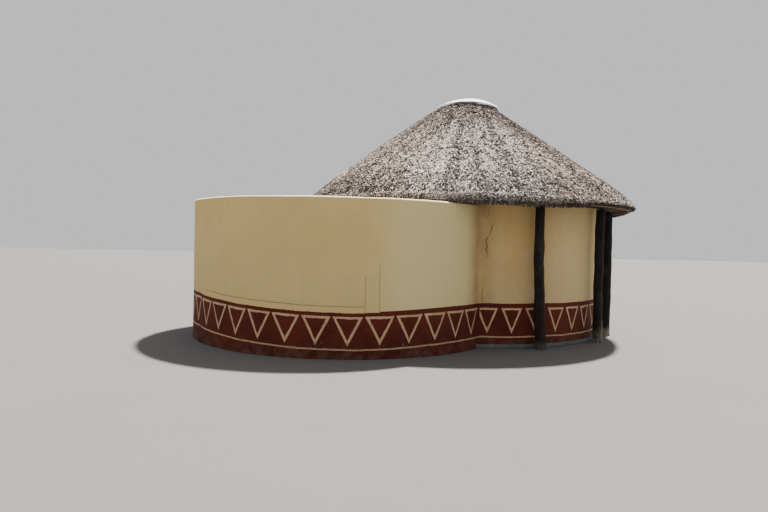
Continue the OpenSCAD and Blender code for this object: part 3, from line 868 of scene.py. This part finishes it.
def lip(az):
    """How far the lower edge of the eave is worn up; below zero it hangs down."""
    deg, x, y = degrees(az), np.cos(az), np.sin(az)
    worn = 0.060 * plateau(deg, 284, 9, 338, 16) + 0.014 * plateau(deg, 236, 6, 248, 5)
    hang = 0.022 * plateau(deg, 250, 6, 279, 6)
    return worn - hang + 0.010 * noise(x * 5, y * 5, 2.0) + 0.006 * noise(x * 17, y * 17, 6.0)


def trim(az, r):
    """How far the coat is worn in toward the middle near the eave."""
    past = r - EAVE_R
    left, right = plateau(degrees(az), 165, 20, 218, 18), plateau((degrees(az) - 305) % 360, 0, 20, 75, 40)
    return (left * (0.030 * soft_step((past + 0.75) / 0.75) + 0.045 * soft_step((past + 0.16) / 0.2))
            + right * 0.040 * soft_step((past + 0.22) / 0.27))


def scar(az, r):
    """Strength of the rust-brown rut at the front of the eave."""
    across = (degrees(az) - 281.4 - 3.2 * (r - EAVE_R)) * math.radians(1) * EAVE_R
    return np.exp(-(across / 0.052) ** 2) * soft_step((r - EAVE_R + 0.40) / 0.25)


line = shell_line()
az, r, index = circle(300), line[:, :1], np.arange(len(line))[:, None]
ahead = np.gradient(np.concatenate([line[-1:], line, line[:1]]), axis=0)[1:-1]
normal = unit(np.stack([ahead[:, 1], -ahead[:, 0]], 1))
push = lumps(az, r) * 0.9
edge_share = np.interp(
    index, (47, 48, 49, 50, 51, 52, 53, 54, 55, 57), (0, 0.15, 0.45, 0.8, 1, 1, 0.85, 0.65, 0.4, 0))
rr = r + push * normal[:, :1] - np.interp(index, (50, 52), (0, 1)) * trim(az, r)
zz = line[:, 1:] + push * normal[:, 1:] + edge_share * np.maximum(lip(az), -0.004)
zz = zz - 0.022 * scar(az, r) * (index > 54)
outside = np.repeat(index >= 52, len(az))
soffit = straw_look("thatch_core", (0.34, 0.235, 0.145), (0.070, 0.046, 0.030), under=True)
core = Shape().add(
    polar(rr, az, zz), grid_quads(len(line), len(az), True, True), out=outside, rust=scar(az, r),
    tone=0.40 + 0.20 * noise(az * 60, r * 3, 1.0), tip=np.where(outside, 0.25, 0.8))
core.make("thatch_core", soffit, "thatch", ["thatch_front", "thatch_back"])


def straws(name, material, az, r, z, length, width, lift, dip, sway, **marks):
    """Makes a piece of closed wedges that lie up the slope from their cut ends."""
    n = len(az)
    slope_dir = polar(-math.cos(PITCH), az, math.sin(PITCH))
    out = polar(math.sin(PITCH), az, math.cos(PITCH))
    side = polar(0.0, az, 0.0, 1.0)
    foot = polar(r, az, z) + out * lift[:, None]
    spin = rng.uniform(0, TAU, n)
    corner = []
    for m in range(3):
        c, s = np.cos(spin + m * 2.0944)[:, None], np.sin(spin + m * 2.0944)[:, None]
        tilt = rng.uniform(-0.35, 0.35, n)
        across = (side * c + out * s) * (width / 2)[:, None]
        corner.append(foot + across + slope_dir * (tilt * width)[:, None])
    tip = foot + slope_dir * length[:, None] + side * (sway * length)[:, None] - out * (lift + dip)[:, None]
    base = np.arange(n)[:, None] * 4
    tris = np.concatenate([base + face for face in ((0, 2, 1), (0, 1, 3), (1, 2, 3), (2, 0, 3))])
    marks = {key: np.repeat(np.broadcast_to(value, n), 4) for key, value in marks.items()}
    Shape().add(np.stack([*corner, tip], 1), (), tris, tip=np.tile([1, 1, 1, 0], n), **marks).make(
        name, material, "thatch", smooth=False)


def top_height(az, r):
    """Height at which the straws start, rounded down over the eave."""
    rounded = np.clip((r - (EAVE_TIP - 0.075)) / 0.055, 0, 1)
    return over_thatch(r) - 0.013 + lumps(az, r) * 0.9 * UPRIGHT - 0.034 * rounded ** 2 - 0.022 * scar(az, r)


def calm_shaded_east(az):
    """How far a place is on the east side: more even in tone there, and painted darker as shade."""
    return soft_step((np.cos(az - math.radians(350)) - 0.10) / 0.6)


def dimming(az, r):
    """How dull the coat is, with painted shade on the sides and a darker top, and how near the eave."""
    west, high = plateau(degrees(az), 110, 50, 200, 45), 1 - soft_step((r - 0.60) / 1.15)
    low = soft_step((r - EAVE_R + 0.62) / 0.50) * (1 - 0.8 * calm_shaded_east(az))
    return 0.62 * west + 1.60 * high + 0.70 * calm_shaded_east(az), low


def stubble(name, count, middle):
    """Cut ends over a quarter of the roof, in tufts of one tone and lift each."""
    low_r, high_r, each = EAVE_TIP - 0.016, THATCH_TOP_R + 0.004, 4
    tufts = count // each
    r = np.sqrt(high_r ** 2 + rng.random(tufts) * (low_r ** 2 - high_r ** 2))
    az = rng.uniform(-np.pi / 4 + middle, np.pi / 4 + middle, tufts)
    clump = noise(r * np.cos(az) * 21, r * np.sin(az) * 21, 5.0)
    furrow = noise(az * EAVE_R * 4.2, r * 0.9, 1.0) + 0.9 * noise(az * EAVE_R * 13, r * 1.2, 7.0)
    calm = calm_shaded_east(az)
    # The east side is calmer in tone and set darker: painted shade
    tuft_tone = (0.24 * clump + 0.42 * furrow + rng.normal(0, 0.30, tufts)) * (1 - 0.30 * calm)
    tuft_tone = tuft_tone + 0.665 - 0.10 * calm
    dull, low = dimming(az, r)
    # Holes in the coat are dark tufts: painted shade in the gaps. The dull share darkens the sides as
    # painted shade and the top; the low share darkens near the eave
    holes = rng.random(tufts) < 0.09 + 0.13 * low
    tuft_tone = tuft_tone - 0.27 * dull - 0.38 * low - 0.85 * holes
    tuft_lift = 0.007 + 0.005 * clump + 0.009 * rng.random(tufts)
    az, r, tuft_tone, tuft_lift = (np.repeat(v, each) for v in (az, r, tuft_tone, tuft_lift))
    n = len(r)
    az = az + rng.normal(0, 0.0085, n) / r
    r = np.minimum(r + rng.uniform(-0.030, 0.030, n), low_r)
    length, width = rng.uniform(0.055, 0.115, n), rng.uniform(0.012, 0.023, n)
    lift = tuft_lift + 0.004 * rng.random(n)
    deg = degrees(az)
    # Straws under the cap's rim, further down at the front, are painted dark: a painted shadow of the cap
    cap_shadow_reach = THATCH_TOP_R + 0.045 + 0.075 * plateau(deg, 222, 12, 278, 12)
    dull, low = dimming(az, r)
    tone = np.clip(tuft_tone + rng.normal(0, 0.54, n) * (1 + 0.4 * low) - 0.9 * (r < cap_shadow_reach), 0, 1)
    # Browner, duller tone on the west and east sides: painted shade, with a little random tone change
    tan = (0.9 * plateau(deg, 110, 50, 205, 50) + 0.95 * calm_shaded_east(az)
           + 0.3 * noise(np.cos(az) * r * 1.7, np.sin(az) * r * 1.7, 3.0))
    straws(name, grass, az, r - trim(az, r), top_height(az, r), length, width, lift, 0.012,
           rng.normal(0, 0.09, n), tone=tone, rust=scar(az, r), tan=np.clip(tan, 0, 1),
           dim=np.clip(dull + 0.25 * low, 0, 1))


grass = straw_look("thatch_coat", (0.93, 0.865, 0.81), (0.034, 0.028, 0.027))
for i, side in enumerate(("east", "north", "west", "south")):
    stubble("thatch_straw_" + side, 33000, i * np.pi / 2)

count = 19000
eave_line = line[51:61]
az, depth = rng.uniform(0, TAU, count), rng.random(count)
path_at = np.append(0, np.cumsum(np.hypot(*np.diff(eave_line, axis=0).T)))
r, z = (np.interp(depth, path_at / path_at[-1], column) for column in eave_line.T)
z = z + lip(az) * np.clip(1 - depth / 0.7, 0, 1)
ragged = 0.014 * fbm(az * 30, 0.4, 0.8, 3) + 0.010 * noise(az * 130, 0.2, 3.1) + 0.014 * rng.random(count)
reach = (ragged + 0.004) * (0.35 + 0.65 * (1 - depth))
r = r - trim(az, r) + reach * math.cos(PITCH) + 0.006
z = z - reach * math.sin(PITCH)
clump = noise(az * 100, z * 40, 3.0)
# The eave's lower edge is painted dark, as shade on its cut underside; dim and tan also darken the whole
# fringe
tone = np.clip(soft_step((depth - 0.24) / 0.24) * (0.46 + 0.5 * clump + rng.normal(0, 0.62, count)), 0, 1)
straws("thatch_eave_fringe", straw_look("thatch_eave", (0.95, 0.885, 0.83), (0.022, 0.017, 0.015)), az, r, z,
       rng.uniform(0.028, 0.062, count), rng.uniform(0.011, 0.020, count), np.zeros(count), 0.0,
       rng.normal(0, 0.14, count), tone=tone, rust=scar(az, EAVE_R), tan=0.35, dim=0.62)


# Mortar cap, hand-shaped, with an uneven rim

dome, inner_r = 0.150, CAP_R - 0.040
rim_top = CAP_TOP - dome
profile = [
    (0.05, rim_top + 0.10), *((s * inner_r, rim_top + 0.106 * (1 - s * s)) for s in np.linspace(0.2, 1, 9)),
    (inner_r, CAP_LOW + 0.002), (CAP_R - 0.012, CAP_LOW + 0.001), (CAP_R - 0.004, CAP_LOW + 0.004),
    (CAP_R - 0.002, CAP_LOW + 0.02), (CAP_R - 0.003, rim_top - 0.016),
    *((s * CAP_R, CAP_TOP - 0.004 - dome * s * s) for s in (*np.linspace(0.985, 0.12, 24), 0.05))]
co, quads, tris = disc(profile, 150, 0.0065, 5.5, 21.0)
# The front of the rim is painted dark grey: painted shade on the rim's face, which lies in shadow
front = plateau(degrees(np.arctan2(co[:, 1], co[:, 0])), 208, 22, 262, 20)
stain = front * soft_step((np.hypot(co[:, 0], co[:, 1]) - CAP_R + 0.016) / 0.012)
mortar = mortar_look("cap_mortar", (0.96, 0.955, 0.94), (0.87, 0.86, 0.84), (0.50, 0.48, 0.45))
Shape().add(co, quads, tris, stain=stain).make("roof_cap_mortar", mortar, "cap_cement", ["roof_cap"])


# Door frames from sawn timbers with eased edges

def timber(shape, low, high, seed, ease=0.006, step=0.05):
    """Sawn bar between two corners, with rounded, lightly worn edges."""
    low, high = np.asarray(low, float), np.asarray(high, float)
    size, mid = high - low, (low + high) / 2
    axis = int(np.argmax(size))
    a, b = [i for i in range(3) if i != axis]
    flat_a, flat_b = size[a] / 2 - ease, size[b] / 2 - ease
    ring = np.concatenate([
        arc(cx * flat_a, cy * flat_b, ease, start, start + 90, 4)
        for cx, cy, start in ((1, 1, 0), (-1, 1, 90), (-1, -1, 180), (1, -1, 270))])
    count = max(6, int(size[axis] / step))
    end = np.array([0, ease * 0.4, ease])
    s = np.concatenate([end, np.linspace(0, size[axis], count + 2)[1:-1], (size[axis] - end)[::-1]])[:, None]
    shrink = np.array([1, 0.45, 0] + [0] * count + [0, 0.45, 1])[:, None] * ease * 0.8
    worn = 0.0012 * fbm(ring[:, 0] * 30 + seed, ring[:, 1] * 30, s * 6, 3)
    keep = 1 - (shrink + abs(worn)) / np.linalg.norm(ring, axis=1)
    co = np.zeros((len(s), len(ring), 3))
    co[..., axis] = low[axis] + s
    co[..., a], co[..., b] = mid[a] + ring[:, 0] * keep, mid[b] + ring[:, 1] * keep
    ends = np.array([mid, mid])
    ends[:, axis] = low[axis], high[axis]
    return shape.add(np.concatenate([co.reshape(-1, 3), ends]), *bar_faces(len(s), len(ring)),
                     tone=(seed * 0.37) % 0.6)


JAMB_W = 0.060
upright_wood, lying_wood = (
    wood_look(name, (0.115, 0.062, 0.034), (0.24, 0.145, 0.085), stretch)
    for name, stretch in (("frame_wood", (12, 12, 0.9)), ("frame_wood_flat", (12, 0.9, 12))))
for door, seed in (("entrance", 1.0), ("court_door", 4.0)):
    low, high = corners(door + "_jambs")
    jambs = timber(Shape(), low, (high[0], low[1] + JAMB_W, high[2]), seed)
    timber(jambs, (low[0], high[1] - JAMB_W, low[2]), high, seed + 0.7)
    jambs.make(door + "_jamb_timbers", upright_wood, "frame_wood", [door + "_jambs"])
    for part, shift in (("head", 1.3), ("sill", 2.1)):
        bar = timber(Shape(), *corners(door + "_" + part), seed + shift)
        bar.make(door + "_" + part + "_timber", lying_wood, "frame_wood", [door + "_" + part])


# Floor, light and camera

ground = bpy.data.meshes.new("studio_floor")
square = ((-60, -60), (60, -60), (60, 60), (-60, 60))
ground.from_pydata([(x, y, -0.002) for x, y in square], [], [(0, 1, 2, 3)])
floor = put("studio_floor", ground)
pale = Look("studio_floor", 0.95)
pale.color = pale.mix(pale.noise(0.6, 3), (0.113, 0.112, 0.110), (0.123, 0.122, 0.120))
ground.materials.append(pale.finish())

world = bpy.data.worlds.new("studio")
bpy.context.scene.world = world
world.use_nodes = True
sky = world.node_tree.nodes["Background"].inputs
sky["Color"].default_value = (0.97, 0.975, 1.0, 1)
sky["Strength"].default_value = 0.74


def sun(name, azimuth, elevation, strength, spread):
    lamp = bpy.data.lights.new(name, "SUN")
    lamp.energy, lamp.angle, lamp.color = strength, math.radians(spread), (1.0, 0.96, 0.90)
    up = math.radians(elevation)
    toward = Vector(polar(math.cos(up), math.radians(azimuth), math.sin(up)))
    put(name, lamp).rotation_euler = toward.to_track_quat("Z", "Y").to_euler()


sun("key", 46, 63, 21.0, 3)
sun("fill", 235, 22, 0.35, 60)
sun("edge", 8, 12, 0.35, 20)

FOCAL_PX, FRAME_PX, SENSOR = 625.967, 768, 36.0
TURN, DIP, ROLL = 0.22171, 0.02442, 0.02397
lens = bpy.data.cameras.new("view")
lens.sensor_width, lens.lens = SENSOR, FOCAL_PX / FRAME_PX * SENSOR
lens.clip_end = 400
camera = put("view", lens)
place = Matrix.Translation((-4.21039, -11.59186, 1.64335))
for angle, axis in ((-TURN, "Z"), (np.pi / 2 - DIP, "X"), (ROLL, "Z")):
    place = place @ Matrix.Rotation(angle, 4, axis)
camera.matrix_world = place
bpy.context.scene.camera = camera
